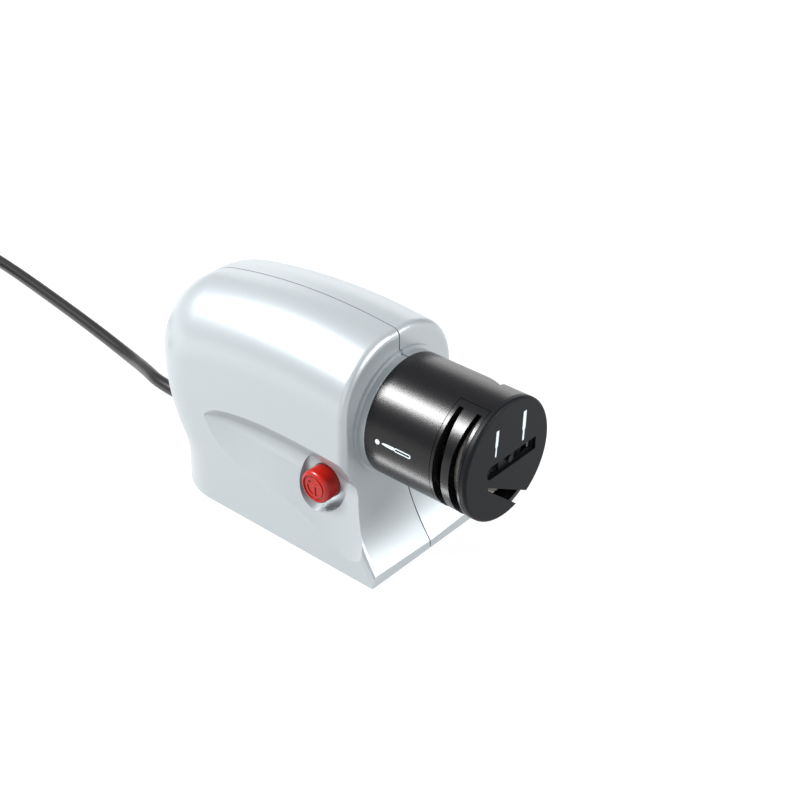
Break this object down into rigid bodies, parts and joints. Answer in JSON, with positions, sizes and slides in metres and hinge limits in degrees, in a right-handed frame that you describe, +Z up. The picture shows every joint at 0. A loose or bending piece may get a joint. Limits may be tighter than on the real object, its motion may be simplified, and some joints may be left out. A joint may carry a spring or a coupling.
{
  "type": "electric knife sharpener",
  "caption": "Electric sharpener with a silver two-part housing, a black turning head with knife slots, scissor slit and screwdriver groove, a push button and a coiled mains lead.",
  "frame": {"origin": "middle of the footprint of the appliance without its lead, on the surface its feet stand on", "axes": "+X from the cord to the front of the sharpening head, along the motor shaft; +Y away from the push button; +Z up"},
  "size_m": [0.4459, 0.1154, 0.0965],
  "materials": {
    "silver_shell": "satin silver paint on moulded ABS",
    "black_head": "fine spark texture",
    "black_guide": "satin",
    "index_plastic": "moulded acetal",
    "orange_button": "satin moulded ABS",
    "switch_black": "moulded",
    "wheel_grit": "bonded abrasive",
    "zinc_steel": "zinc plated",
    "shaft_steel": "ground",
    "motor_steel": "plated",
    "ferrite": "sintered ferrite",
    "copper": "enamelled copper",
    "bell_plastic": "glass-filled nylon",
    "bronze": "sintered bronze",
    "carbon": "pressed carbon",
    "rubber": "moulded rubber",
    "board_laminate": "glass laminate",
    "component_black": "epoxy",
    "capacitor_yellow": "box capacitor",
    "wire_insulation": "PVC insulation",
    "cord_vinyl": "PVC jacket",
    "tie_white": "PVC strap",
    "pin_brass": "nickel plated brass"
  },
  "bodies": {
    "root": {"button_side_shell": "silver_shell", "plain_side_shell": "silver_shell", "bearing_carrier": "index_plastic", "micro_switch": "switch_black", "housing_screws": "zinc_steel", "clamp_screws": "zinc_steel", "board_screws": "zinc_steel", "switch_bracket": "zinc_steel", "front_bearing": "shaft_steel", "motor_can": "motor_steel", "motor_magnets": "ferrite", "motor_end_bell": "bell_plastic", "cord_clamp": "bell_plastic", "motor_front_bush": "bronze", "motor_rear_bush": "bronze", "brushes": "carbon", "damper_rings": "rubber", "dust_seal": "rubber", "front_button_side_foot": "rubber", "front_plain_side_foot": "rubber", "rear_button_side_foot": "rubber", "rear_plain_side_foot": "rubber", "rectifier_board": "board_laminate", "bridge_rectifier": "component_black", "mains_capacitor": "capacitor_yellow", "mains_wires": "wire_insulation", "motor_leads": "wire_insulation", "switch_leads": "wire_insulation", "strain_relief": "cord_vinyl", "cord_tail": "cord_vinyl", "cord_lead": "cord_vinyl", "cord_coil": "cord_vinyl", "cord_end": "cord_vinyl", "plug_body": "cord_vinyl", "coil_tie": "tie_white", "plug_pins": "pin_brass"},
    "spindle": {"motor_shaft": "shaft_steel", "rotor_core": "motor_steel", "rotor_windings": "copper", "commutator": "copper", "wheel_flange": "zinc_steel", "grinding_wheel": "wheel_grit", "wheel_washer": "zinc_steel", "wheel_nut": "zinc_steel"},
    "index": {"index_ring": "index_plastic"},
    "head": {"head_sleeve": "black_head", "knife_guide": "black_guide", "head_cap": "black_head"},
    "button": {"power_button": "orange_button", "switch_plunger": "switch_black"}
  },
  "joints": [
    {"name": "wheel_spin", "type": "hinge", "parent": "root", "child": "spindle", "pos_m": [0, 0, 0.06], "axis": [1, 0, 0], "continuous": true},
    {"name": "head_turn", "type": "hinge", "parent": "root", "child": "index", "pos_m": [0, 0, 0.06], "axis": [1, 0, 0], "range_deg": [-90, 90]},
    {"name": "head_pull", "type": "slide", "parent": "index", "child": "head", "axis": [1, 0, 0], "range_m": [0, 0.042]},
    {"name": "button_press", "type": "slide", "parent": "root", "child": "button", "axis": [0, 1, 0], "range_m": [0, 0.003], "stiffness_N_per_m": 400, "springref_m": -0.001}
  ]
}
